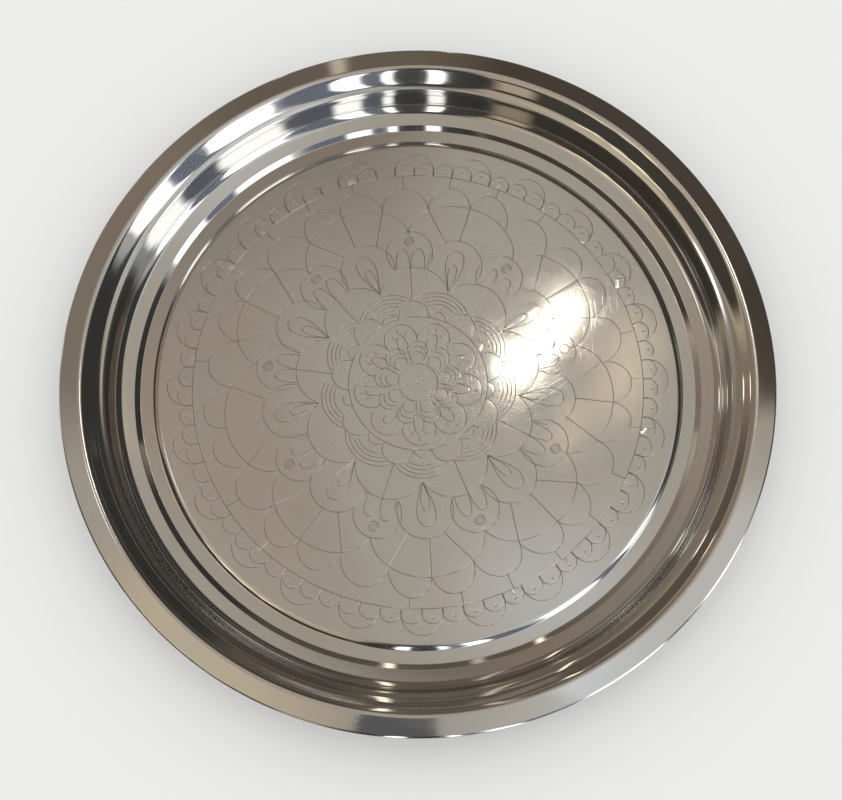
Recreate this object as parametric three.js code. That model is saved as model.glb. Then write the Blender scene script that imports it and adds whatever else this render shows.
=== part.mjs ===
// Round serving tray of polished stainless steel.
//
// One sheet is pressed into every form that shows: a flat centre panel that stands a little
// proud, the ring that the tray rests on, a small step, a shoulder, a deep cove, a narrow
// ledge, an upper wall and a flange that falls gently outwards. The edge of the flange is
// rolled under round a wire, which stiffens it and hides the cut edge.
//
// Millimetres, +Z up. The origin is the centre of the tray on the surface that it stands on.

import * as THREE from 'three';

// Overall size
const TRAY_DIAMETER = 400;
const FLANGE_CREST_HEIGHT = 28.2;

// Widths of the rings, from the edge of the tray inwards: the rim as far as the crease, the
// wall with its shoulder and step, and the flat ring that the tray stands on. The centre panel
// takes what is left.
const RIM_WIDTH = 23.8;
const WALL_WIDTH = 16.4;
const FOOT_RING_WIDTH = 7.4;

// Sheet and wire
const SHEET = 0.7;
const WIRE_DIAMETER = 1.2;
const WIRE_CLEARANCE = 0.25;

// Centre panel and the fine step round it, soft above and sharper below
const PANEL_RISE = 1.0;
const PANEL_EDGE_ROUNDING = 7;
const FINE_STEP_WIDTH = 2;
const FINE_STEP_ROUNDING = 1.5;

// Step outside the foot ring
const STEP_WIDTH = 2.8;
const STEP_RISE = 1.9;
const STEP_ROUNDING = 0.9;

// Shoulder, cove and wall up to the crease
const SHOULDER_SLOPE = 12;
const COVE_RADIUS = 7;
const LOWER_WALL_SLOPE = 82;
const CREASE_DROP = 7.3;
const CREASE_ROUNDING = 1.2;

// Ledge and upper wall
const LEDGE_SLOPE = 16;
const LEDGE_WIDTH = 4.4;
const LEDGE_FILLET = 10;
const UPPER_WALL_SLOPE = 44;

// Flange
const FLANGE_CREST_ROUNDING = 6;
const FLANGE_FALL = 4;

// Fineness of the surfaces
const TURNS = 64;
const BEND_STEP = 20;
const ROLL_STEPS_TO_EDGE = 3;
const ROLL_STEPS = 10;
const WIRE_SIDES = 8;

const radians = (degrees) => THREE.MathUtils.degToRad(degrees);
const slope = (degrees) => Math.tan(radians(degrees));
const point = (r, z) => new THREE.Vector2(r, z);

// A station is a point of the tray's upper surface with the upward normal of the sheet there.
const station = (position, heading) => ({
  position,
  normal: point(-Math.sin(heading), Math.cos(heading)),
});

// Follows straight stretches between corners and rounds each corner with a tangent arc.
function roundedStations(corners) {
  const stations = [];
  corners.forEach((corner, index) => {
    const before = corners[index - 1];
    const after = corners[index + 1];
    if (!before || !after) {
      const [from, to] = before ? [before.at, corner.at] : [corner.at, after.at];
      stations.push(station(corner.at, to.clone().sub(from).angle()));
      return;
    }
    const arriving = corner.at.clone().sub(before.at).angle();
    const leaving = after.at.clone().sub(corner.at).angle();
    const turn = Math.atan2(Math.sin(leaving - arriving), Math.cos(leaving - arriving));
    const tangent = corner.rounding * Math.tan(Math.abs(turn) / 2);
    const start = corner.at.clone().sub(point(Math.cos(arriving), Math.sin(arriving)).multiplyScalar(tangent));
    stations.push(...arcStations(start, arriving, turn, corner.rounding, BEND_STEP));
  });
  return stations;
}

// An arc that starts at a point with a heading and turns by an angle, left if it is positive.
function arcStations(start, heading, turn, radius, stepDegrees) {
  const side = Math.sign(turn);
  const centre = start.clone().add(point(-Math.sin(heading), Math.cos(heading)).multiplyScalar(side * radius));
  const steps = Math.max(2, Math.ceil(Math.abs(turn) / radians(stepDegrees)));
  return Array.from({ length: steps + 1 }, (_, index) => {
    const here = heading + (turn * index) / steps;
    const outwards = point(Math.sin(here), -Math.cos(here)).multiplyScalar(side * radius);
    return station(centre.clone().add(outwards), here);
  });
}

// Radii of the rings
const creaseRadius = TRAY_DIAMETER / 2 - RIM_WIDTH;
const footRingOuterRadius = creaseRadius - WALL_WIDTH;
const panelEdgeRadius = footRingOuterRadius - FOOT_RING_WIDTH - FINE_STEP_WIDTH;

// Levels of the upper surface, from the ring that the tray stands on to the flange
const footLevel = SHEET;
const panelLevel = footLevel + PANEL_RISE;
const shoulderLevel = footLevel + STEP_RISE;
const shoulderRadius = footRingOuterRadius + STEP_WIDTH;
const creaseLevel = FLANGE_CREST_HEIGHT - CREASE_DROP;

// The cove's corner is where the shoulder's line meets the wall that hangs from the crease.
const wallRun = (creaseLevel - shoulderLevel - (creaseRadius - shoulderRadius) * slope(SHOULDER_SLOPE))
  / (slope(LOWER_WALL_SLOPE) - slope(SHOULDER_SLOPE));
const coveRadius = creaseRadius - wallRun;
const coveLevel = shoulderLevel + (coveRadius - shoulderRadius) * slope(SHOULDER_SLOPE);

const ledgeRadius = creaseRadius + LEDGE_WIDTH;
const ledgeLevel = creaseLevel + LEDGE_WIDTH * slope(LEDGE_SLOPE);
const crestRadius = ledgeRadius + (FLANGE_CREST_HEIGHT - ledgeLevel) / slope(UPPER_WALL_SLOPE);

// The roll is tangent to the flange, and its outermost point is the edge of the tray. Whole
// steps lead from the flange to that point, so that the solid reaches it.
const wireRadius = WIRE_DIAMETER / 2;
const rollRadius = wireRadius + WIRE_CLEARANCE + SHEET;
const fall = radians(FLANGE_FALL);
const wireCentreRadius = TRAY_DIAMETER / 2 - rollRadius;
const flangeEnd = point(wireCentreRadius + rollRadius * Math.sin(fall), 0);
flangeEnd.y = FLANGE_CREST_HEIGHT - (flangeEnd.x - crestRadius) * Math.tan(fall);
const wireCentreLevel = flangeEnd.y - rollRadius * Math.cos(fall);
const rollStep = (90 - FLANGE_FALL) / ROLL_STEPS_TO_EDGE;
const rollSweep = radians(rollStep * ROLL_STEPS);

function traySheet() {
  const pressed = roundedStations([
    { at: point(0, panelLevel) },
    { at: point(panelEdgeRadius, panelLevel), rounding: PANEL_EDGE_ROUNDING },
    { at: point(panelEdgeRadius + FINE_STEP_WIDTH, footLevel), rounding: FINE_STEP_ROUNDING },
    { at: point(footRingOuterRadius, footLevel), rounding: STEP_ROUNDING },
    { at: point(shoulderRadius, shoulderLevel), rounding: STEP_ROUNDING },
    { at: point(coveRadius, coveLevel), rounding: COVE_RADIUS },
    { at: point(creaseRadius, creaseLevel), rounding: CREASE_ROUNDING },
    { at: point(ledgeRadius, ledgeLevel), rounding: LEDGE_FILLET },
    { at: point(crestRadius, FLANGE_CREST_HEIGHT), rounding: FLANGE_CREST_ROUNDING },
    { at: flangeEnd },
  ]);
  const rolled = arcStations(flangeEnd, -fall, -rollSweep, rollRadius, rollStep).slice(1);
  const stations = [...pressed, ...rolled];
  const upper = stations.map(({ position }) => position);
  const under = stations.map(({ position, normal }) => position.clone().addScaledVector(normal, -SHEET));
  return new THREE.LatheGeometry([...under, ...upper.reverse()], TURNS);
}

function rimWire() {
  const section = Array.from({ length: WIRE_SIDES + 1 }, (_, index) => {
    const angle = (2 * Math.PI * (index % WIRE_SIDES)) / WIRE_SIDES;
    return point(wireCentreRadius + wireRadius * Math.cos(angle), wireCentreLevel + wireRadius * Math.sin(angle));
  });
  return new THREE.LatheGeometry(section, TURNS);
}

function named(name, geometry, finish) {
  const mesh = new THREE.Mesh(geometry, new THREE.MeshStandardMaterial(finish));
  mesh.name = name;
  return mesh;
}

const tray = new THREE.Group();
tray.rotation.x = Math.PI / 2;
tray.add(named('tray_pan', traySheet(), { color: 0xb8b2a8, roughness: 0.08, metalness: 1 }));
tray.add(named('rim_wire', rimWire(), { color: 0x8f8c86, roughness: 0.35, metalness: 1 }));

export default tray;
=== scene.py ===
# %% [markdown]
# # A round serving tray of polished steel
#
# The tray is one sheet of stainless steel, pressed into shape, polished and engraved. Its looks
# come from three things: the profile of the rim, which bends the room into bright and dark
# rings, the fine engraving of the centre panel, and the small scratches of long use.
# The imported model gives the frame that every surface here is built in.

# %% The frame
import bpy
import numpy as np
from mathutils.geometry import delaunay_2d_cdt
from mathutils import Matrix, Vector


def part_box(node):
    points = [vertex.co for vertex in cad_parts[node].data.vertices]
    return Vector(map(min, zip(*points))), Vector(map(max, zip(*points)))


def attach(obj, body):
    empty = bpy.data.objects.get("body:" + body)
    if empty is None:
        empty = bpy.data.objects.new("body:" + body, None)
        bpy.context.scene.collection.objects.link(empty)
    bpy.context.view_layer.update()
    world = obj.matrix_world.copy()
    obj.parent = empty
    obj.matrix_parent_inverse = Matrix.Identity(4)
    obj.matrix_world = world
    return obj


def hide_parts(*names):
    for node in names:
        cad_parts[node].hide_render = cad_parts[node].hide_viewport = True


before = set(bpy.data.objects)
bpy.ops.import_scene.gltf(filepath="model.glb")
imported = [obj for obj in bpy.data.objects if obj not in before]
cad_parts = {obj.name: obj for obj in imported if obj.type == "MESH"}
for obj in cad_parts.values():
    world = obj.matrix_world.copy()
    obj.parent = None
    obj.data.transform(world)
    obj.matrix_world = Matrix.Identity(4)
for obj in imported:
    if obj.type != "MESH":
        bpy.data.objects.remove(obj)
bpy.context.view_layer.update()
_, pan_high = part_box("tray_pan")
MM = 0.001
TRAY_RADIUS = pan_high.x
FLANGE_TOP = pan_high.z
print(f"tray radius {TRAY_RADIUS / MM:.1f} mm, flange {FLANGE_TOP / MM:.1f} mm above the table")

# %% [markdown]
# ## The camera
#
# The photograph looks down at the tray from a little in front of it. The lens and the place of
# the camera are those at which the round edge of the tray becomes the ellipse that shows, and
# at which the panel, which lies deeper, is shifted against that edge as it is there.

# %% The camera
IMAGE_WIDTH = 842
FOCAL_PIXELS = 1345.4
SENSOR_WIDTH = 36.0
# Turns about the x, y and z axes in degrees, from a camera that looks straight down
CAMERA_TURNS = (15.679, -0.047, -1.298)
# From the centre of the rim, in tray radii: rightwards, away and up
CAMERA_PLACE = (-0.01928, -1.09512, 3.59122)
RIM_PLANE = 26.5 * MM

camera = bpy.data.objects.new("camera", bpy.data.cameras.new("camera"))
bpy.context.scene.collection.objects.link(camera)
bpy.context.scene.camera = camera
camera.data.sensor_width = SENSOR_WIDTH
camera.data.lens = FOCAL_PIXELS / IMAGE_WIDTH * SENSOR_WIDTH
camera.rotation_euler = np.radians(CAMERA_TURNS)
camera.location = np.array(CAMERA_PLACE) * TRAY_RADIUS + [0, 0, RIM_PLANE]
bpy.context.scene.view_settings.view_transform = "Standard"
print(f"camera {camera.location.length:.2f} m away, lens {camera.data.lens:.1f} mm")

# %% [markdown]
# ## Shader sums as Python sums
#
# Node trees are easier to read as formulas. This class wraps one socket of a tree: arithmetic on
# it adds Math nodes, and `add` makes any other node from its settings and its inputs.


# %% Sockets that add up
class Value:
    """A number, colour or vector in a node tree."""

    def __init__(self, tree, socket=None):
        self.tree, self.socket = tree, socket

    def add(self, kind, settings=None, inputs=None, output=0):
        """Adds a node: its settings first, then a value or a link for each named input."""
        node = self.tree.nodes.new("ShaderNode" + kind)
        for name, setting in (settings or {}).items():
            setattr(node, name, setting)
        for key, given in (inputs or {}).items():
            if isinstance(given, Value):
                self.tree.links.new(given.socket, node.inputs[key])
            else:
                node.inputs[key].default_value = given
        return Value(self.tree, node.outputs[output])

    def math(self, operation, *others):
        """A Math node with this value first and the others after it."""
        return self.add("Math", {"operation": operation}, dict(enumerate((self, *others))))

    def __add__(self, other):
        return self.math("ADD", other)

    def __sub__(self, other):
        return self.math("SUBTRACT", other)

    def __rsub__(self, other):
        return self.add("Math", {"operation": "SUBTRACT"}, {0: other, 1: self})

    def __mul__(self, other):
        return self.math("MULTIPLY", other)

    def __truediv__(self, other):
        return self.math("DIVIDE", other)

    __radd__, __rmul__ = __add__, __mul__

    def rise(self, low, high):
        """0 at low, 1 at high, a smooth step between them, and flat beyond."""
        settings = {"interpolation_type": "SMOOTHSTEP"}
        return self.add("MapRange", settings, {"Value": self, "From Min": low, "From Max": high})

    def near(self, half, soft):
        """1 where the number is less than half away from 0, with a soft edge."""
        return self.math("ABSOLUTE").rise(half + soft, half - soft)

    def flat(self, colour):
        """A colour that is the same everywhere."""
        made = self.add("RGB")
        made.socket.default_value = colour
        return made

    def mix(self, other, share):
        """This colour, with a share of another laid over it."""
        inputs = {0: share, 6: self, 7: other}
        return self.add("Mix", {"data_type": "RGBA", "clamp_factor": True}, inputs, output=2)


# %% [markdown]
# ## A studio that the steel can mirror
#
# Polished steel has hardly a colour of its own: it shows what stands round it. So the studio is
# made of directions: a pale ceiling, tall white panels to the front right, a dark card where
# the camera stands, brown and beige walls, and a slanted lamp overhead. Anything that isn't
# mirrored, such as the floor, only gets plain white light.

# %% Colours of the studio
STEEL_SHARE = 0.62


def seen(red, green, blue, strength=1.0):
    """The light that polished steel shows as this picture colour: the colour taken out of
    display gamma, divided by the share of light that steel gives back."""
    linear = (np.array([red, green, blue]) / 255) ** 2.2 * strength / STEEL_SHARE
    return (*linear, 1.0)


CEILING = seen(150, 144, 134)
RIGHT_CEILING = seen(175, 176, 174)
LEFT_CEILING = seen(141, 130, 117)
FAR_CEILING = seen(112, 101, 91)
PALE_PATCH = seen(176, 175, 174)
BLACK = seen(40, 40, 38)
SHADE = seen(72, 74, 78)
DARK_BROWN = seen(62, 54, 46)
UMBER = seen(52, 48, 42)
GOLD = seen(138, 116, 98)
BROWN = seen(92, 82, 71)
DEEP_BROWN = seen(78, 70, 62)
LIGHT_BROWN = seen(114, 104, 92)
GREY_BROWN = seen(115, 107, 96)
ROSE = seen(118, 88, 86)
BEIGE = seen(160, 146, 124)
PALE_BEIGE = seen(182, 174, 156)
SAND = seen(175, 163, 142)
PALE_BLUE = seen(194, 200, 204)
SLATE = seen(85, 92, 106)
GREY = seen(150, 150, 150)
WHITE = seen(250, 253, 255, 1.7)
WARM = seen(250, 240, 210, 1.5)
LAMP = seen(255, 246, 228, 7.0)
HALO = seen(220, 204, 178)

# %% The room
# Cards and panels, laid one over another, in degrees: azimuth from and to (0 is right, 90 far,
# 270 near), zenith angle from and to, softness, sideways lean, colour. Cards are large and mostly
# dark; panels are windows and the thin edges of light between things.
CARDS = [
    (107, 132, 8, 24, 6, 0, LEFT_CEILING),
    (89, 148, 23.5, 100, 6.5, 0, FAR_CEILING),
    (21, 42, 22, 100, 4, 0, CEILING),
    (-22, 66, 31, 100, 4, 0, GREY_BROWN),
    (31, 68, 26, 100, 2, 0, DARK_BROWN),
    (64, 94, 29, 100, 3, 0, DARK_BROWN),
    (84, 126, 31, 100, 5, 0, BROWN),
    (112, 172, 29, 100, 7, 0, LIGHT_BROWN),
    (56, 152, 70, 100, 8, 0, DEEP_BROWN),
    (85, 96, 44, 100, 4, 0, DEEP_BROWN),
    (167, 254, 9, 100, 5, 0, BEIGE),
    (142, 226, 9, 19, 3, 0, SAND),
    (-25, 12, 5, 13, 4, 0, PALE_BLUE),
    (172, 250, 34, 100, 3, 0, UMBER),
    (277, 304, 18, 100, 3, 0, SLATE),
    (318, 338, 24, 100, 3, 8, SLATE),
    (250, 279, 10, 100, 1.5, 0, SHADE),
    (234, 279, 4.5, 12, 1.5, 0, SHADE),
    (250, 276, 14, 100, 3, 0, BLACK),
    (346, 360, 30, 100, 5, 0, GREY),
    (-6, 46, 31, 100, 3, 0, BLACK),
    (40, 64, 40, 100, 3, 0, BLACK),
    (2, 30, 79, 84, 1.5, 0, GOLD),
    (155, 158.5, 58, 76, 1.2, 0, ROSE),
]
PANELS = [
    (305, 323, 25, 100, 1.5, 5, WHITE),
    (335, 348, 27, 100, 1.5, 5, WHITE),
    (283, 290, 26, 100, 1.2, 0, WHITE),
    (275, 277.5, 26, 80, 0.8, 0, WHITE),
    (262, 266, 26, 80, 0.8, 0, WHITE),
    (141, 152, 17, 21.5, 1.2, 0, WHITE),
    (98, 150, 60, 63, 1.0, 0, CEILING),
    (30, 98, 60, 62.5, 1.0, 0, GREY_BROWN),
    (84.4, 85.6, 48, 80, 0.5, 0, WARM),
    (96.2, 97.6, 36, 74, 0.6, 0, PALE_BEIGE),
    (105.4, 106.4, 52, 72, 0.5, 0, WARM),
    (188, 191, 25, 36, 0.8, 6, WARM),
    (195, 199, 24, 37, 0.8, 6, WARM),
    (204, 206, 26, 38, 0.6, 6, WARM),
    (210, 213, 25, 36, 0.8, 6, WARM),
    (240, 249, 50, 84, 2.0, 0, BEIGE),
    (156, 160, 66, 74, 1.0, 0, WARM),
    (129, 133, 68, 74, 1.0, 0, WARM),
]
# A lean shifts a panel sideways by its degrees for each 30 that it is away from a zenith angle of 60
LEAN_FROM = 60
LEAN_OVER = 30
HALF_TURN = 180
# Lamps in the ceiling: direction rightwards and away, turn in degrees, half length, half width,
# softness, colour
LAMPS = [
    (0.100, 0.130, 0, 0.060, 0.045, 0.050, PALE_PATCH),
    (0.160, 0.285, 75, 0.035, 0.012, 0.022, HALO),
    (0.118, 0.245, 60, 0.020, 0.006, 0.016, HALO),
    (0.100, 0.311, 44, 0.034, 0.008, 0.006, LAMP),
    (0.073, 0.292, 85, 0.014, 0.003, 0.003, LAMP),
]
# The ceiling grows paler rightwards, across a slanted border
RIGHT_SLANT = 0.6
RIGHT_SHARE = (0.02, 0.3)
PLAIN_STRENGTH = 0.93


def make_studio():
    """The world: mirrored rays see the room, all others a plain white."""
    world = bpy.data.worlds.new("studio")
    bpy.context.scene.world = world
    world.use_nodes = True
    tree = world.node_tree
    tree.nodes.clear()
    start = Value(tree)
    direction = start.add("TexCoord")
    x, y, z = (start.add("SeparateXYZ", {}, {0: direction}, output=axis) for axis in range(3))
    azimuth = y.math("ARCTAN2", x) * np.degrees(1.0)
    zenith = z.math("ARCCOSINE") * np.degrees(1.0)
    rightwards = (x - y * RIGHT_SLANT).rise(*RIGHT_SHARE)
    room = start.flat(CEILING).mix(start.flat(RIGHT_CEILING), rightwards)
    for low, high, top, bottom, soft, lean, colour in CARDS + PANELS:
        shift = (zenith - LEAN_FROM) * (lean / LEAN_OVER)
        aside = (azimuth + shift - (low + high) / 2).math("PINGPONG", HALF_TURN)
        below = zenith - (top + bottom) / 2
        mask = aside.near((high - low) / 2, soft) * below.near((bottom - top) / 2, soft)
        room = room.mix(start.flat(colour), mask)
    for right, away, turn, length, width, soft, colour in LAMPS:
        cosine, sine = np.cos(np.radians(turn)), np.sin(np.radians(turn))
        along = (x - right) * cosine + (y - away) * sine
        across = (y - away) * cosine - (x - right) * sine
        room = room.mix(start.flat(colour), along.near(length, soft) * across.near(width, soft))
    mirrored = start.add("Background", {}, {"Color": room, "Strength": 1.0})
    plain = start.add("Background", {}, {"Color": (1, 1, 1, 1), "Strength": PLAIN_STRENGTH})
    glossy = start.add("LightPath", output="Is Glossy Ray")
    both = start.add("MixShader", {}, {0: glossy, 1: plain, 2: mirrored})
    output = tree.nodes.new("ShaderNodeOutputWorld")
    tree.links.new(both.socket, output.inputs["Surface"])


make_studio()
print(f"studio with {len(CARDS)} cards, {len(PANELS)} panels and {len(LAMPS)} lamps")

# %% [markdown]
# ## The floor
#
# A plain pale surface under the tray. It is large enough to reach past every view, and lies a
# hair lower than the ring that the tray stands on, so that no two faces share a plane.

# %% The floor
FLOOR_HALF = 6.0
FLOOR_LEVEL = -0.02 * MM
FLOOR_COLOUR = (0.92, 0.92, 0.91, 1.0)
FLOOR_ROUGHNESS = 0.9


def make_floor():
    """A square in the plane of the table."""
    corners = FLOOR_HALF * np.array([[-1, -1, 0], [1, -1, 0], [1, 1, 0], [-1, 1, 0]])
    corners = corners + [0, 0, FLOOR_LEVEL]
    mesh = bpy.data.meshes.new("floor")
    mesh.from_pydata(corners.tolist(), [], [(0, 1, 2, 3)])
    floor = bpy.data.objects.new("floor", mesh)
    bpy.context.scene.collection.objects.link(floor)
    finish = bpy.data.materials.new("pale_floor")
    finish.use_nodes = True
    shader = finish.node_tree.nodes["Principled BSDF"]
    shader.inputs["Base Color"].default_value = FLOOR_COLOUR
    shader.inputs["Roughness"].default_value = FLOOR_ROUGHNESS
    mesh.materials.append(finish)


make_floor()

# %% [markdown]
# ## The profile of the pressed sheet
#
# Everything outside the centre panel is a revolve of one line: a fine step down from the panel,
# the flat ring that the tray stands on, a step up, a shoulder, the cove, a sharp crease, the
# ledge, the upper wall, the flange and the rolled edge. Polished steel makes each change of
# slope visible, so the corners are true arcs, and every point keeps its exact normal. A point
# of the line is one complex number: radius plus i times height.

# %% Sizes of the profile
SHEET = 0.7 * MM
PANEL_EDGE_RADIUS = 150.4 * MM
PANEL_RISE = 1.0 * MM
PANEL_EDGE_ROUNDING = 7 * MM
FINE_STEP_WIDTH = 2 * MM
FINE_STEP_ROUNDING = 1.5 * MM
FOOT_RING_OUTER_RADIUS = 159.8 * MM
STEP_WIDTH = 2.8 * MM
STEP_RISE = 1.9 * MM
STEP_ROUNDING = 0.9 * MM
SHOULDER_SLOPE = 12
COVE_RADIUS = 7 * MM
LOWER_WALL_SLOPE = 82
CREASE_RADIUS = 176.2 * MM
CREASE_DROP = 7.3 * MM
CREASE_ROUNDING = 1.2 * MM
LEDGE_SLOPE = 16
LEDGE_WIDTH = 4.4 * MM
LEDGE_FILLET = 10 * MM
UPPER_WALL_SLOPE = 44
FLANGE_CREST_ROUNDING = 6 * MM
FLANGE_FALL = 4
WIRE_RADIUS = 0.6 * MM
WIRE_CLEARANCE = 0.25 * MM
ROLL_RADIUS = WIRE_RADIUS + WIRE_CLEARANCE + SHEET
ROLL_QUARTER = 90 - FLANGE_FALL
ROLL_SWEEP = ROLL_QUARTER * 10 / 3
ROLL_STEP = ROLL_QUARTER / 5
BEND_STEP = 6
TURNS = 256


def grade(degrees):
    """Rise for each unit of run of a slope."""
    return np.tan(np.radians(degrees))


def bend(start, heading, turn, radius, step):
    """An arc from a point: the heading turns evenly, and the point stays one radius from the
    centre, which lies at right angles to the heading, on the side that the arc turns to."""
    side = np.sign(turn)
    count = max(2, int(np.ceil(abs(turn) / np.radians(step))))
    headings = heading * np.exp(1j * turn * np.linspace(0, 1, count + 1))
    centre = start + 1j * side * radius * heading
    return centre - 1j * side * radius * headings, headings


def rounded_line(corners):
    """Straight stretches with each corner rounded by an arc that is tangent to both sides."""
    points, headings = [], []
    for (before, _), (corner, radius), (after, _) in zip(corners, corners[1:], corners[2:]):
        arriving = (corner - before) / abs(corner - before)
        leaving = (after - corner) / abs(after - corner)
        turn = np.angle(leaving / arriving)
        start = corner - arriving * radius * np.tan(abs(turn) / 2)
        arc, along = bend(start, arriving, turn, radius, BEND_STEP)
        points.append(arc)
        headings.append(along)
    return np.concatenate(points), np.concatenate(headings)


def upper_line():
    """The upper surface of the sheet, from the edge of the panel to the end of the roll."""
    panel, foot = SHEET + PANEL_RISE, SHEET
    shoulder = FOOT_RING_OUTER_RADIUS + STEP_WIDTH + 1j * (SHEET + STEP_RISE)
    lift, drop = np.radians(UPPER_WALL_SLOPE), np.radians(FLANGE_FALL)
    # A corner of two slopes lies above its rounded top by this share of the radius
    over = np.cos((lift - drop) / 2) / np.cos((lift + drop) / 2) - 1
    crest_level = FLANGE_TOP + FLANGE_CREST_ROUNDING * over
    crease = CREASE_RADIUS + 1j * (crest_level - CREASE_DROP)
    reach = crease - shoulder
    wall_height = reach.imag - reach.real * grade(SHOULDER_SLOPE)
    cove_out = reach.real - wall_height / (grade(LOWER_WALL_SLOPE) - grade(SHOULDER_SLOPE))
    cove = shoulder + cove_out * (1 + 1j * grade(SHOULDER_SLOPE))
    ledge = crease + LEDGE_WIDTH * (1 + 1j * grade(LEDGE_SLOPE))
    crest_out = (crest_level - ledge.imag) / grade(UPPER_WALL_SLOPE)
    crest = ledge.real + crest_out + 1j * crest_level
    end_out = TRAY_RADIUS - ROLL_RADIUS + ROLL_RADIUS * np.sin(drop)
    end = end_out + 1j * (crest_level - (end_out - crest.real) * np.tan(drop))
    edge = PANEL_EDGE_RADIUS
    corners = [
        (panel * 1j, 0),
        (edge + 1j * panel, PANEL_EDGE_ROUNDING),
        (edge + FINE_STEP_WIDTH + 1j * foot, FINE_STEP_ROUNDING),
        (FOOT_RING_OUTER_RADIUS + 1j * foot, STEP_ROUNDING),
        (shoulder, STEP_ROUNDING),
        (cove, COVE_RADIUS),
        (crease, CREASE_ROUNDING),
        (ledge, LEDGE_FILLET),
        (crest, FLANGE_CREST_ROUNDING),
        (end, 0),
    ]
    points, headings = rounded_line(corners)
    roll, along = bend(end, np.exp(-1j * drop), -np.radians(ROLL_SWEEP), ROLL_RADIUS, ROLL_STEP)
    return np.append(points, roll), np.append(headings, along)


line, headings = upper_line()
PANEL_RADIUS = line[0].real
print(f"profile of {len(line)} points, {line.imag.max() / MM:.2f} mm high")

# %% [markdown]
# ## The engraving
#
# The panel carries a rosette of nine petals and nine rings, with scalloped rows round it. The
# pattern is a traditional one, and each motif is a short formula: circles through three points,
# arches and teardrops. One sector is drawn and then turned about the middle. A point of the
# panel is one complex number, so turning is a multiplication.

# %% Curves of the engraving
CHORD_ERROR = 0.03 * MM
FEWEST_CHORDS = 5
# A teardrop's end is blunter with a smaller power; the factor makes its widest place one
TEARDROP_POWER = 1.4
TEARDROP_FACTOR = 1.25


def at(angle, radius):
    """The point at an angle in degrees and a radius in millimetres."""
    return radius * MM * np.exp(1j * np.radians(angle))


def pieces_for(radius, sweep):
    """Chords of an arc: a chord of angle a leaves the arc by radius times 1 - cos(a / 2)."""
    return max(FEWEST_CHORDS, int(np.ceil(sweep / (2 * np.arccos(1 - CHORD_ERROR / radius)))))


def straight(start, end):
    """The straight line from one point to another."""
    return np.array([start, end])


def arc_through(start, top, end):
    """The circle through three points: its centre is start plus b(w - |w|^2) / 2i Im w,
    where b runs from start to top and w is the way to the end divided by b."""
    b = top - start
    w = (end - start) / b
    centre = start + b * (w - abs(w) ** 2) / (2j * w.imag)
    sweep = np.angle((top - centre) / (start - centre)) + np.angle((end - centre) / (top - centre))
    steps = pieces_for(abs(start - centre), abs(sweep))
    return centre + (start - centre) * np.exp(1j * sweep * np.linspace(0, 1, steps + 1))


def arch_over(start, top, end, fullness=2.0):
    """Half a superellipse: across by cos(t)^(2/n), up by sin(t)^(2/n), from start over top to end."""
    middle = (start + end) / 2
    steps = pieces_for(abs(top - middle), np.pi)
    t = np.linspace(0, np.pi, steps + 1)
    across = np.sign(np.cos(t)) * np.abs(np.cos(t)) ** (2 / fullness)
    return middle + (start - middle) * across + (top - middle) * np.sin(t) ** (2 / fullness)


def ring(centre, radius):
    """A closed circle with its radius in millimetres."""
    steps = pieces_for(radius * MM, 2 * np.pi)
    return centre + radius * MM * np.exp(2j * np.pi * np.arange(steps + 1) / steps)


def teardrop(cusp, tip, half_width):
    """A loop from a cusp: along by (1 - cos t) / 2 of its length, across by sin(t) sin(t / 2)^p,
    so that it leaves the cusp narrow and ends round."""
    along = tip - cusp
    steps = pieces_for(abs(along) / 2, 2 * np.pi)
    t = np.linspace(0, 2 * np.pi, steps + 1)
    across = TEARDROP_FACTOR * np.sin(t) * np.sin(t / 2) ** TEARDROP_POWER
    aside = 1j * along / abs(along) * half_width * MM
    return cusp + along * (1 - np.cos(t)) / 2 + aside * across


def outside(curve, centre, radius):
    """The part of a curve that lies outside a circle."""
    return curve[np.abs(curve - centre) > radius * MM]


def turned(curves, folds):
    """Every curve turned about the middle, once for each fold of the pattern."""
    turns = np.exp(2j * np.pi * np.arange(folds) / folds)
    return [curve * turn for turn in turns for curve in curves]


# %% The motifs
# Places are angles in degrees and radii in millimetres. TEAR and ROUND are the directions of a
# teardrop petal and of a round petal; the border stands on the circle line.
PETALS = 9
SECTOR = 360 / PETALS
TEAR = -7.75
ROUND = TEAR + SECTOR / 2
CIRCLE_LINE = 129.8
BORDER_PERIODS = 24
BORDER_TURN = -0.3
BORDER_STEP = 5
SMALL_ARCHES = (-1, 0, 1)
ARCH_TOP = 138.0
LARGE_ARCH_TOP = 144.2
DISC_PLACE = 87.3
DISC_RADIUS = 2.8 * MM
HUB_FOLDS = 6
RINGS_ROUND_MIDDLE = (11.3, 40.0, CIRCLE_LINE)


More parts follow.
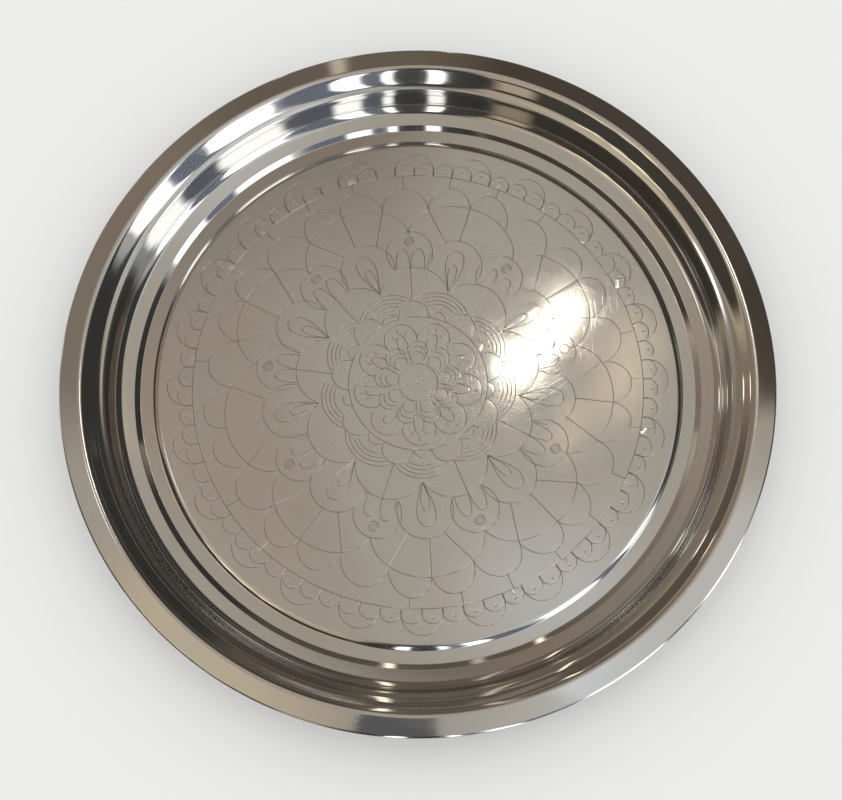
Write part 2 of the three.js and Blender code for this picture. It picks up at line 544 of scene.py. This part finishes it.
def petal_motifs():
    """One sector from the fans out to the circle line: a fan, a teardrop petal with two loops,
    a round petal with two arches and a ring, a wide arch, three rays, three outer arches."""
    t, a = TEAR, ROUND
    crossings = [at(t + 13.1, 107.1), at(t + 0.4, 112.4), at(t - 12.3, 108.6), at(t - 26.9, 107.1)]
    tops = [at(t + 7.7, 122.9), at(t - 5.6, 123.8), at(t - 19.4, 121.5)]
    feet = [at(t + 5.6, 87.6), at(t + 0.6, 91.0), at(t - 6.9, 86.8)]
    cusp = at(t - 1.2, 58.2)
    curves = [
        arc_through(cusp, at(a - 1, 70.9), at(t - 1.2 + SECTOR, 58.2)),
        straight(at(a, 70.9), at(a + 0.5, 49.8)),
        arc_through(at(t + 11.6, 70.0), at(t + 0.4, 90.8), at(t - 12.4, 69.6)),
        teardrop(cusp, at(t + 0.4, 84.2), 5.9),
        teardrop(cusp, at(t + 0.2, 75.3), 2.7),
        arc_through(at(a + 7.1, 70.2), at(a - 0.3, 93.9), at(a - 7.1, 70.2)),
        arch_over(at(a + 6.6, 70.4), at(a + 3.3, 82.8), at(a + 0.1, 71), 2.5),
        arch_over(at(a - 0.1, 71), at(a - 3.7, 82.8), at(a - 6.8, 70.4), 2.5),
        arch_over(at(a, 93.9), at(t + 0.3, 112.6), at(a - SECTOR, 93.9)),
        ring(at(a - 0.1, DISC_PLACE), DISC_RADIUS / MM),
    ]
    curves += [straight(foot, crossing) for foot, crossing in zip(feet, crossings)]
    curves += [arch_over(*span) for span in zip(crossings, tops, crossings[1:])]
    curves += [straight(top, top / abs(top) * CIRCLE_LINE * MM) for top in tops]
    return curves


def middle_motifs():
    """One sector of the middle: nested bands between two scallops, a round petal with a loop
    and three dashes, and three nested arches."""
    t, a = TEAR, ROUND
    petal, bud = t - 2.2, t + 17.8
    hub, reach = at(t, 36.7), 62
    bands = []
    for radius in (19.7, 17.3, 14.9, 12.5):
        bands.append(arc_through(*(hub + at(t + turn, radius) for turn in (reach, 0, -reach))))
    for side in (a, a - SECTOR):
        bands = [outside(band, at(side, 40.9), 8.9) for band in bands]
    dashes = [(7, 31.2, 29.4), (0, 34.4, 32.6), (-7, 31.2, 29.4)]
    buds = [(13, 12.6, 18.8), (16, 15.0, 22.0), (18, 18.6, 25.2)]
    return bands + [
        arc_through(at(a + 12.4, 40), at(a, 49.8), at(a - 12.4, 40)),
        arc_through(at(t + 6.5, 40.4), at(t, 44.4), at(t - 6.5, 40.4)),
        arc_through(at(petal + 20, 25.6), at(petal, 37.2), at(petal - 20, 25.6)),
        arch_over(at(petal + 8, 21.5), at(petal, 30.6), at(petal - 8, 21.5), 2.2),
    ] + [
        straight(at(petal + turn, far), at(petal + turn, near)) for turn, far, near in dashes
    ] + [
        arc_through(at(bud + half, low), at(bud, top), at(bud - half, low)) for half, low, top in buds
    ]


def border_motifs():
    """One period of the border: three small arches in a row, and a large one over two of them."""
    left, middle, right = (BORDER_TURN + BORDER_STEP * k for k in (-1, 0, 1))
    curves = []
    for k in SMALL_ARCHES:
        start, top, end = (BORDER_TURN + BORDER_STEP * (k + share) for share in (0, 0.5, 1))
        curves.append(arc_through(at(start, CIRCLE_LINE), at(top, ARCH_TOP), at(end, CIRCLE_LINE)))
    large = arc_through(at(right, CIRCLE_LINE), at(middle, LARGE_ARCH_TOP), at(left, CIRCLE_LINE))
    return curves + [large]


def punched_dots():
    """The places and radii of the small dots that are punched between the lines."""
    t = TEAR
    sector = [(at(t + 5.4, 46.4), 0.6), (at(t, 47.0), 0.6), (at(t - 5.4, 46.4), 0.6), (at(t, 42.4), 0.55)]
    border = [(at(BORDER_TURN + BORDER_STEP * (k + 0.5), 134.9), 0.85) for k in SMALL_ARCHES]
    hub = [(at(10, 6.4), 0.6), (at(33, 3.6), 0.55)]
    dots = []
    for group, folds in ((sector, PETALS), (border, BORDER_PERIODS), (hub, HUB_FOLDS)):
        turns = np.exp(2j * np.pi * np.arange(folds) / folds)
        dots += [(place * turn, size) for turn in turns for place, size in group]
    return dots + [(0j, 1.0)]


curves = turned(petal_motifs() + middle_motifs(), PETALS) + turned(border_motifs(), BORDER_PERIODS)
curves += [ring(0, radius) for radius in RINGS_ROUND_MIDDLE]
dots = punched_dots()
length = sum(np.abs(np.diff(curve)).sum() for curve in curves)
print(f"{len(curves)} engraved lines, {length:.1f} m in all, {len(dots)} dots")

# %% [markdown]
# ## Cutting the lines into the panel
#
# A line engraved in mirror steel shows by its slopes, so it has to be real relief. A grid fine
# enough for it would need millions of faces. Instead, the contours of every groove become
# edges, and Blender's constrained triangulation fills what lies between with as few
# triangles as it can. Depth and normal then follow from the distance to the nearest line. The
# round discs in the petals are pressed in flat, with only their outline cut.

# %% Contours of the grooves
LINE_HALF_WIDTH = 0.24 * MM
# Depth of a line as a share of its half width, of a disc as a share of a line's depth, and how
# much painted shade a disc gets from the darker groove colour
DEPTH_SHARE = 0.42
DISC_SHARE = 0.35
DISC_SHADE = 0.22
CONTOUR_SHARES = (1.0, 0.5)
CAP_ANGLES = np.radians([45, 90, 135])
MERGE_DISTANCE = 0.004 * MM
DOT_MIDDLE = 0.02 * MM


def sideways(curve):
    """Unit normals of a line: the mean direction of the two chords at each point, turned left."""
    along = np.diff(curve)
    along = along / np.abs(along)
    closed = abs(curve[0] - curve[-1]) < MERGE_DISTANCE
    first = along[0] + along[-1] if closed and abs(along[0] + along[-1]) > 1 else along[0]
    last = first if closed and abs(along[0] + along[-1]) > 1 else along[-1]
    mean = np.concatenate([[first], along[1:] + along[:-1], [last]])
    return 1j * mean / np.abs(mean)


def contour(curve, offset):
    """The closed line at a distance from a curve: one side, a round end, the other, a round end."""
    left = sideways(curve) * offset
    far_end = curve[-1] + left[-1] * np.exp(-1j * CAP_ANGLES)
    near_end = curve[0] - left[0] * np.exp(-1j * CAP_ANGLES)
    loop = np.concatenate([curve + left, far_end, (curve - left)[::-1], near_end])
    return np.append(loop, loop[0])


def groove_edges():
    """Every line that the triangulation has to keep: the bottoms and contours of the grooves."""
    kept = []
    for curve in curves:
        kept.append(curve)
        kept += [contour(curve, LINE_HALF_WIDTH * share) for share in CONTOUR_SHARES]
    for centre, size in dots:
        kept += [ring(centre, size * share) for share in CONTOUR_SHARES]
        kept.append(np.array([centre - DOT_MIDDLE, centre + DOT_MIDDLE]))
    return kept


# %% Depth of the grooves
# Width of a ring of points, and how far beyond it a line still counts
BAND = 4 * MM
REACH = 2 * MM
CHUNK = 500
FAR = 9.0
TINY = 1e-9


def nearest_line(points):
    """The nearest line or dot of each point: its distance over its half width, the way from it,
    and that half width. Points are taken in rings, and only the lines near a ring are tried."""
    centres = [centre for centre, _ in dots]
    starts = np.concatenate([curve[:-1] for curve in curves] + [centres])
    ends = np.concatenate([curve[1:] for curve in curves] + [centres])
    halves = np.full(len(starts), LINE_HALF_WIDTH)
    halves[-len(dots):] = [size * MM for _, size in dots]
    nearest = np.full(len(points), FAR)
    away = np.zeros(len(points), complex)
    half = np.full(len(points), LINE_HALF_WIDTH)
    inner = np.minimum(np.abs(starts), np.abs(ends)) - REACH
    outer = np.maximum(np.abs(starts), np.abs(ends)) + REACH
    for low in np.arange(0, PANEL_RADIUS, BAND):
        here = np.flatnonzero((np.abs(points) >= low) & (np.abs(points) < low + BAND))
        near = np.flatnonzero((inner < low + BAND) & (outer > low))
        if not len(here) or not len(near):
            continue
        chord = ends[near] - starts[near]
        square = np.maximum(np.abs(chord) ** 2, TINY ** 2)
        for some in np.array_split(here, len(here) // CHUNK + 1):
            offset = points[some][:, None] - starts[near][None, :]
            share = np.clip((offset * chord.conj()).real / square, 0, 1)
            gap = offset - share * chord
            ratio = np.abs(gap) / halves[near]
            best = ratio.argmin(1)
            rows = np.arange(len(some))
            nearest[some] = ratio[rows, best]
            away[some] = gap[rows, best]
            half[some] = halves[near][best]
    return nearest, away, half


def groove_depth(points):
    """Depth, slope and share of painted shade (a darker groove colour) at points of the panel. With u the
    distance to the nearest line over its half width, the depth is half of its greatest times 1 + cos(pi
    u), and
    0 where u passes 1. The discs are flat, a third as deep as the lines."""
    nearest, away, half = nearest_line(points)
    u = np.minimum(nearest, 1)
    deepest = DEPTH_SHARE * half
    depth = deepest * (1 + np.cos(np.pi * u)) / 2
    steep = deepest * np.pi / (2 * half) * np.sin(np.pi * u)
    slope = steep * away / np.maximum(np.abs(away), TINY)
    # Share of painted shade in the groove colour: 1 at a line's bottom, less up its sides
    cut = np.where(half == LINE_HALF_WIDTH, depth / deepest, 0)
    disc_depth = DISC_SHARE * DEPTH_SHARE * LINE_HALF_WIDTH
    for centre in turned([at(ROUND - 0.1, DISC_PLACE)], PETALS):
        inside = (np.abs(points - centre) < DISC_RADIUS) & (depth < disc_depth)
        depth[inside] = disc_depth
        slope[inside] = 0
        # The flat discs get a small, even share of painted shade
        cut[inside] = DISC_SHADE
    return depth, slope, cut


# %% The panel
# The kind of triangulation that fills everything inside the outline
WHOLE_HULL = 0


def make_panel(rim):
    """Triangles of the panel inside a rim of points: positions, normals, faces, and the places of
    the rim's points. The normal leans against the slope: (-slope, 1), made one long."""
    kept = groove_edges()
    flat = np.concatenate([rim] + kept)
    edges, count = [], len(rim)
    for edge_line in kept:
        number = np.arange(count, count + len(edge_line))
        edges += np.stack([number[:-1], number[1:]], 1).tolist()
        count += len(edge_line)
    points = (np.stack([flat.real, flat.imag], 1) / MM).tolist()
    outline = [list(range(len(rim)))]
    made = delaunay_2d_cdt(points, edges, outline, WHOLE_HULL, MERGE_DISTANCE / MM, True)
    corners, faces, origins = made[0], made[2], made[3]
    place = np.array([c[:] for c in corners]) @ [1, 1j] * MM
    rim_place = np.zeros(len(rim), int)
    for number, sources in enumerate(origins):
        for source in sources:
            if source < len(rim):
                rim_place[source] = number
    depth, slope, cut = groove_depth(place)
    level = SHEET + PANEL_RISE - depth
    position = np.stack([place.real, place.imag, level], 1)
    normal = np.stack([-slope.real, -slope.imag, np.ones(len(place))], 1)
    return position, normal / np.linalg.norm(normal, axis=1)[:, None], np.array(faces), rim_place, cut


angles = 2 * np.pi * np.arange(TURNS) / TURNS
panel_rim = PANEL_RADIUS * np.exp(1j * angles)
panel_points, panel_normals, panel_faces, rim_places, panel_cut_and_shade = make_panel(panel_rim)
print(f"panel of {len(panel_points)} points and {len(panel_faces)} triangles")

# %% [markdown]
# ## The whole sheet as one closed body
#
# The revolve takes over at the edge of the panel, runs out over the rim and round the wire, and
# comes back 0.7 mm lower as the under side. The cut edge of the sheet, inside the roll, joins
# the two. The exact normals of the formulas go in as custom normals, so that long triangles
# mirror as smoothly as small ones.

# %% The tray's mesh
# The under side keeps a point of the profile for each such turn of its heading, in degrees
UNDER_TURN = 11


def revolved(numbers):
    """A line turned about the axis: the real part times cosine and sine, the imaginary part as
    it is. Rows are points of the line, columns are turns, and normals turn as points do."""
    across, away = np.outer(numbers.real, np.cos(angles)), np.outer(numbers.real, np.sin(angles))
    up = np.outer(numbers.imag, np.ones(TURNS))
    return np.stack([across, away, up], -1).reshape(-1, 3)


def strips(rows):
    """Quads between neighbouring rows of numbers, closed round the turn."""
    inner, outer = rows[:-1], rows[1:]
    return np.stack([inner, outer, np.roll(outer, -1, 1), np.roll(inner, -1, 1)], -1).reshape(-1, 4)


def thinned(turn_limit):
    """Numbers of the profile's points for the under side, where a coarser line does."""
    angle = np.unwrap(np.angle(headings))
    keep = [0]
    for number in range(1, len(line)):
        gap = abs(angle[number] - angle[keep[-1]])
        if gap > turn_limit or number == len(line) - 1 or gap < TINY:
            keep.append(number)
    return np.array(keep)


def mark(mesh, name, first, numbers):
    """Gives the points of a mesh a number that materials can read: the numbers from the first
    point on, and 0 at all others."""
    values = np.zeros(len(mesh.vertices))
    values[first:first + len(numbers)] = numbers
    mesh.attributes.new(name, "FLOAT", "POINT").data.foreach_set("value", values)


def make_tray():
    """Panel, upper side, cut edge, under side and bottom as one mesh."""
    up = 1j * headings
    upper_points, upper_normals = revolved(line[1:]), revolved(up[1:])
    under = thinned(np.radians(UNDER_TURN))[::-1]
    under_points, under_normals = revolved((line - SHEET * up)[under]), revolved(-up[under])
    middle = [[0, 0, PANEL_RISE]]
    points = np.concatenate([panel_points, upper_points, under_points, middle])
    normals = np.concatenate([panel_normals, upper_normals, under_normals, [[0, 0, -1]]])
    first = len(panel_points)
    outward = np.arange(first, first + len(upper_points) + len(under_points)).reshape(-1, TURNS)
    rows = np.concatenate([rim_places[None, :], outward])
    quads = strips(rows)
    last = rows[-1]
    fan = np.stack([last, np.full(TURNS, len(points) - 1), np.roll(last, -1)], 1)
    mesh = bpy.data.meshes.new("tray_pan_polished")
    mesh.from_pydata(points.tolist(), [], panel_faces.tolist() + quads.tolist() + fan.tolist())
    mesh.polygons.foreach_set("use_smooth", np.ones(len(mesh.polygons), bool))
    mesh.update()
    mesh.normals_split_custom_set_from_vertices(normals.tolist())
    # The engraved share lays painted shade into the grooves, and makes them rougher
    mark(mesh, "engraved", 0, panel_cut_and_shade)
    mark(mesh, "under_side", first + len(upper_points), np.ones(len(under_points) + 1))
    tray = bpy.data.objects.new("tray_pan_polished", mesh)
    bpy.context.scene.collection.objects.link(tray)
    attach(tray, "root")
    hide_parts("tray_pan")
    return tray


tray = make_tray()
print(f"tray of {sum(len(p.vertices) - 2 for p in tray.data.polygons)} triangles")

# %% [markdown]
# ## Polished steel
#
# Stainless steel gives back a little over half of the light and tints it faintly warm. What
# makes it look real is what making and use left on it. A pressed sheet is never quite flat, so
# slow waves bend every reflection. The polishing wheel left fine rings on the rim, and use left
# straight scratches, dull finger marks and worn patches. A second, rougher layer with a small
# share gives the haze round the brightest reflections. All heights are small, because polished
# steel shows a slope of a tenth of a degree.

# %% Places and patterns
class Place(Value):
    """Object coordinates in millimetres, and the patterns that steel needs there."""

    def axis(self, number):
        """One coordinate."""
        return self.add("SeparateXYZ", {}, {0: self}, output=number)

    def joined(self, x, y, z):
        """A new place from three coordinates."""
        return Place(self.tree, self.add("CombineXYZ", {}, {0: x, 1: y, 2: z}).socket)

    def radius(self):
        """Distance from the axis of the tray."""
        x, y = self.axis(0), self.axis(1)
        return (x * x + y * y).math("SQRT")

    def coiled(self, outwards, around):
        """A new place from radius, turn and height, for marks that run round the tray."""
        turn = self.axis(1).math("ARCTAN2", self.axis(0))
        return self.joined(self.radius() * outwards, self.axis(2) * outwards, turn * around)

    def noise(self, size, detail=2.0, roughness=0.5):
        """Soft noise from 0 to 1 with blotches of a size in millimetres."""
        inputs = {"Vector": self, "Scale": 1 / size, "Detail": detail, "Roughness": roughness}
        return self.add("TexNoise", {}, inputs)

    def patches(self, size, detail, roughness, low, high):
        """Soft patches: 0 where the noise is under a low value, 1 where it is over a high one."""
        return self.noise(size, detail, roughness).rise(low, high)

    def scratches(self, angle, length, spacing):
        """Straight fine scratches: the borders of long narrow cells, 1 on a border and 0 beside it,
        of which soft noise leaves only some."""
        settings = {"rotation_type": "Z_AXIS"}
        turned = self.add("VectorRotate", settings, {"Vector": self, "Angle": np.radians(angle)})
        drawn = Place(self.tree, turned.socket)
        cells = drawn.joined(drawn.axis(0) / length, drawn.axis(1) / spacing, 0.0)
        settings = {"feature": "DISTANCE_TO_EDGE"}
        border = cells.add("TexVoronoi", settings, {"Vector": cells, "Scale": 1.0})
        kept = self.patches(length * SCRATCH_CLUSTER, *SCRATCHES_LEFT)
        return border.rise(SCRATCH_WIDTH / spacing, 0.0) * kept


def surface(tree):
    """The point of the surface that is shaded."""
    metres = Value(tree).add("TexCoord", output="Object")
    scaled = metres.add("VectorMath", {"operation": "SCALE"}, {0: metres, "Scale": 1 / MM})
    return Place(tree, scaled.socket)


# %% Marks on the steel
FLAT_STEEL = (0.635, 0.622, 0.600, 1)
WARM_STEEL = (0.655, 0.620, 0.588, 1)
COOL_STEEL = (0.610, 0.622, 0.612, 1)
# Painted shade for the engraved grooves: a darker steel colour, laid in by depth
GROOVE_SHADE_STEEL = (0.38, 0.35, 0.32, 1)
# Waves and grain: size in millimetres and detail of the noise, then the height in millimetres
WAVES = (45.0, 1.0, 0.050)
RIPPLES = (9.0, 2.0, 0.0018)
PEEL = (1.6, 2.0, 0.0006)
# Marks that run round the rim: how fine they are outwards and around, detail, roughness, height
RINGS = (1.3, 1.5, 2.0, 0.6, 0.0038)
SWAY = (0.1, 5.0, 1.0, 0.5, 0.020)
# Scratches: direction in degrees, length and spacing in millimetres
SCRATCHES = [(24, 34, 4.2), (87, 31, 3.6), (146, 38, 4.6)]
# Their width in millimetres, and the noise that leaves only some of them: its size as a share of
# their length, then its detail and roughness, and where it starts and ends
SCRATCH_WIDTH = 0.13
SCRATCH_CLUSTER = 0.6
SCRATCHES_LEFT = (1.0, 0.5, 0.50, 0.58)
PANEL_SCRATCH_HEIGHT = 0.0015
RIM_SCRATCH_HEIGHT = 0.0003
# Patches: size in millimetres, detail and roughness of the noise, then where they start and end
SMUDGES = (38.0, 5.0, 0.6, 0.42, 0.72)
WORN_PATCHES = (6.0, 4.0, 0.65, 0.5, 0.8)
WARM_PATCHES = (60.0, 3.0, 0.5, 0.45, 0.7)
COOL_PATCHES = (52.0, 3.0, 0.5, 0.5, 0.75)
# In the fine step the panel's marks give way to the rim's
PANEL_ENDS = (151.0, 149.0)


def steel_relief(here, panel, scratched):
    """Heights in millimetres: waves, grain and scratches on the panel, rings on the rim."""
    level = scratched * PANEL_SCRATCH_HEIGHT
    for size, detail, height in (WAVES, RIPPLES, PEEL):
        level = level + here.noise(size, detail) * height
    rim_level = scratched * RIM_SCRATCH_HEIGHT
    for outwards, around, detail, roughness, height in (RINGS, SWAY):
        rim_level = rim_level + here.coiled(outwards, around).noise(1.0, detail, roughness) * height
    relief = panel * level + (1 - panel) * rim_level
    return here.add("Bump", {}, {"Strength": 1.0, "Distance": MM, "Height": relief})


def steel_tint(here, engraved):
    """Warm and cool patches in the steel, and painted shade darkening the bottoms of the engraved lines.
    """
    tint = here.flat(FLAT_STEEL).mix(here.flat(WARM_STEEL), here.patches(*WARM_PATCHES))
    tint = tint.mix(here.flat(COOL_STEEL), here.patches(*COOL_PATCHES))
    return tint.mix(here.flat(GROOVE_SHADE_STEEL), engraved)


# %% Steel
CLEAN_ROUGHNESS = 0.04
PANEL_ROUGHNESS = 0.02
SMUDGE_ROUGHNESS = 0.03
WORN_ROUGHNESS = 0.02
SCRATCH_ROUGHNESS = 0.02
CUT_ROUGHNESS = 0.05
UNDER_ROUGHNESS = 0.16
# Share of the rougher layer on the rim, what the panel adds to it, and how much rougher it is
RIM_HAZE = 0.06
PANEL_HAZE = 0.14
HAZE_BLUR = 0.26


def make_steel():
    """Mirror-polished steel: even reflections on the rim with fine rings from spinning, wavy and
    finely scratched on the panel, and rougher bottoms in the engraved lines, darkened with painted shade."""
    finish = bpy.data.materials.new("polished_steel")
    finish.use_nodes = True
    tree = finish.node_tree
    here = surface(tree)
    panel = here.radius().rise(*PANEL_ENDS)
    first, *others = (here.scratches(*directed) for directed in SCRATCHES)
    scratched = sum(others, first)
    engraved = here.add("Attribute", {"attribute_name": "engraved"}, output="Fac")
    below = here.add("Attribute", {"attribute_name": "under_side"}, output="Fac")
    smudge, worn = here.patches(*SMUDGES), here.patches(*WORN_PATCHES)
    rough = CLEAN_ROUGHNESS + panel * PANEL_ROUGHNESS + smudge * SMUDGE_ROUGHNESS + worn * WORN_ROUGHNESS
    rough = rough + scratched * SCRATCH_ROUGHNESS + engraved * CUT_ROUGHNESS + below * UNDER_ROUGHNESS
    tint, bump = steel_tint(here, engraved), steel_relief(here, panel, scratched)
    mirror, haze = tree.nodes["Principled BSDF"], tree.nodes.new("ShaderNodeBsdfPrincipled")
    for layer, blur in ((mirror, rough), (haze, rough + HAZE_BLUR)):
        layer.inputs["Metallic"].default_value = 1.0
        tree.links.new(tint.socket, layer.inputs["Base Color"])
        tree.links.new(blur.socket, layer.inputs["Roughness"])
        tree.links.new(bump.socket, layer.inputs["Normal"])
    layers = {1: Value(tree, mirror.outputs[0]), 2: Value(tree, haze.outputs[0])}
    both = here.add("MixShader", {}, {0: panel * PANEL_HAZE + RIM_HAZE, **layers})
    tree.links.new(both.socket, tree.nodes["Material Output"].inputs["Surface"])
    return finish


tray.data.materials.append(make_steel())
print(f"polished steel with {len(SCRATCHES)} sets of scratches")

# %% [markdown]
# ## The wire in the rolled edge
#
# The wire only shows from below, where the roll leaves a narrow gap. It is drawn, not polished:
# grey, with fine lines along its length and a little rust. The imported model's own ring is fine
# enough for it, so only its finish is made here.

# %% Wire
WIRE_STEEL = (0.46, 0.45, 0.44, 1)
RUSTY_STEEL = (0.34, 0.29, 0.25, 1)
RUST_PATCHES = (5.0, 4.0, 0.5, 0.5, 0.75)
# Marks of drawing: how fine they are outwards and around, height in millimetres, roughness
DRAWN_FINENESS = (8.0, 12.0)
DRAWN_HEIGHT = 0.01
DRAWN_ROUGHNESS = 0.12
WIRE_ROUGHNESS = 0.34


def make_wire_steel():
    """Drawn wire: rough steel, darker in patches, with marks that run round the tray."""
    finish = bpy.data.materials.new("wire_steel")
    finish.use_nodes = True
    tree = finish.node_tree
    shader = tree.nodes["Principled BSDF"]
    here = surface(tree)
    marks = here.coiled(*DRAWN_FINENESS).noise(1.0)
    tint = here.flat(WIRE_STEEL).mix(here.flat(RUSTY_STEEL), here.patches(*RUST_PATCHES))
    rough = WIRE_ROUGHNESS + marks * DRAWN_ROUGHNESS
    bump = here.add("Bump", {}, {"Strength": 1.0, "Distance": MM, "Height": marks * DRAWN_HEIGHT})
    shader.inputs["Metallic"].default_value = 1.0
    tree.links.new(tint.socket, shader.inputs["Base Color"])
    tree.links.new(rough.socket, shader.inputs["Roughness"])
    tree.links.new(bump.socket, shader.inputs["Normal"])
    return finish


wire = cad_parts["rim_wire"]
wire.data.materials.clear()
wire.data.materials.append(make_wire_steel())
print(f"wire of {len(wire.data.polygons)} triangles inside the roll")
